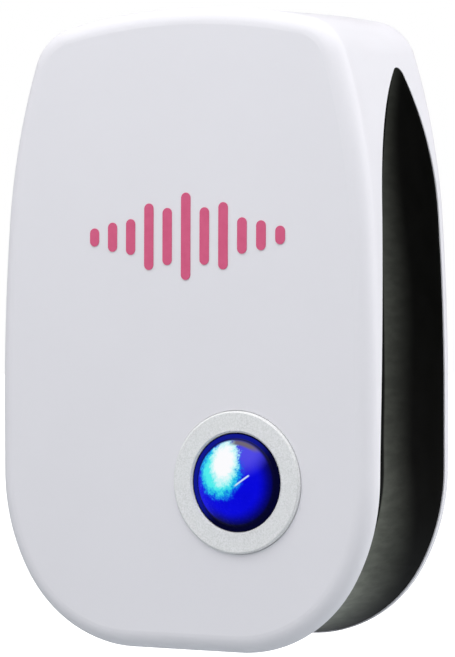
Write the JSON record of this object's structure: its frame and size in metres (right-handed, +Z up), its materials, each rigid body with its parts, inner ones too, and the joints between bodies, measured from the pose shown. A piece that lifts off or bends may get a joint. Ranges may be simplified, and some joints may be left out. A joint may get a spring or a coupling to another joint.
{
  "type": "ultrasonic pest repeller",
  "caption": "Plug-in ultrasonic pest repeller: rounded white cover over a dark frame, a ringed blue press-to-light lamp in front and a round-pin mains plug at the back.",
  "frame": {"origin": "middle of the plug's seating face, between its two pins", "axes": "+Y into the wall along the pins, +Z up, the front of the body faces -Y, +X to the right seen from the front"},
  "size_m": [0.08, 0.0741, 0.1212],
  "materials": {
    "cover_white": "semi-gloss moulded",
    "frame_black": "satin black, moulded",
    "plug_white": "satin moulded",
    "pin_nickel": "nickel-plated brass",
    "sleeve_black": "satin",
    "brass": "stamped",
    "screw_steel": "zinc plated",
    "ring_silver": "fine satin silver-white",
    "lens_blue": "polished, tinted clear",
    "housing_white": "satin moulded",
    "spring_steel": "drawn wire",
    "board_green": "solder mask",
    "led_clear": "clear epoxy",
    "switch_black": "moulded",
    "plunger_white": "moulded",
    "print_pink": "pad printed ink",
    "foam_grey": "closed-cell foam",
    "diode_black": "moulded with a pale band",
    "diode_glass": "glass body",
    "resistor_tan": "lacquered",
    "resistor_grey": "cement coated",
    "capacitor_yellow": "moulded case",
    "capacitor_sleeve": "shrink sleeve on aluminium",
    "chip_black": "moulded epoxy",
    "ferrite": "ferrite with wound copper",
    "capacitor_orange": "dipped",
    "wire_brown": "PVC insulation",
    "wire_blue": "PVC insulation",
    "wire_red": "PVC insulation",
    "wire_white": "PVC insulation"
  },
  "bodies": {
    "casing": {"bezel_ring": "ring_silver", "blue_leds": "led_clear", "board_screws": "screw_steel", "case_screws": "screw_steel", "ceramic_capacitors": "capacitor_orange", "control_chip": "chip_black", "drive_transistors": "chip_black", "film_capacitor": "capacitor_yellow", "filter_capacitor": "capacitor_sleeve", "foam_gasket": "foam_grey", "front_cover": "cover_white", "fusible_resistor": "resistor_grey", "housing_screws": "screw_steel", "lamp_housing": "housing_white", "lamp_wires": "wire_white", "led_board": "board_green", "live_wire": "wire_brown", "main_board": "board_green", "mid_frame": "frame_black", "neutral_wire": "wire_blue", "piezo_disc": "brass", "piezo_holder": "switch_black", "pin_clips": "brass", "pin_sleeves": "sleeve_black", "plug_base": "plug_white", "plug_pin_left": "pin_nickel", "plug_pin_right": "pin_nickel", "printed_mark": "print_pink", "push_switch": "switch_black", "rear_cover": "cover_white", "rectifier_diodes": "diode_black", "resistors": "resistor_tan", "return_spring": "spring_steel", "sounder_wires": "wire_red", "step_up_coil": "ferrite", "supply_capacitor": "capacitor_sleeve", "zener_diode": "diode_glass"},
    "lamp_button": {"lamp_lens": "lens_blue", "switch_plunger": "plunger_white"}
  },
  "joints": [
    {"name": "lamp_press", "type": "slide", "parent": "casing", "child": "lamp_button", "axis": [0, 1, 0], "range_m": [0, 0.0015], "stiffness_N_per_m": 400, "springref_m": -0.001, "deforming": ["return_spring"]}
  ]
}
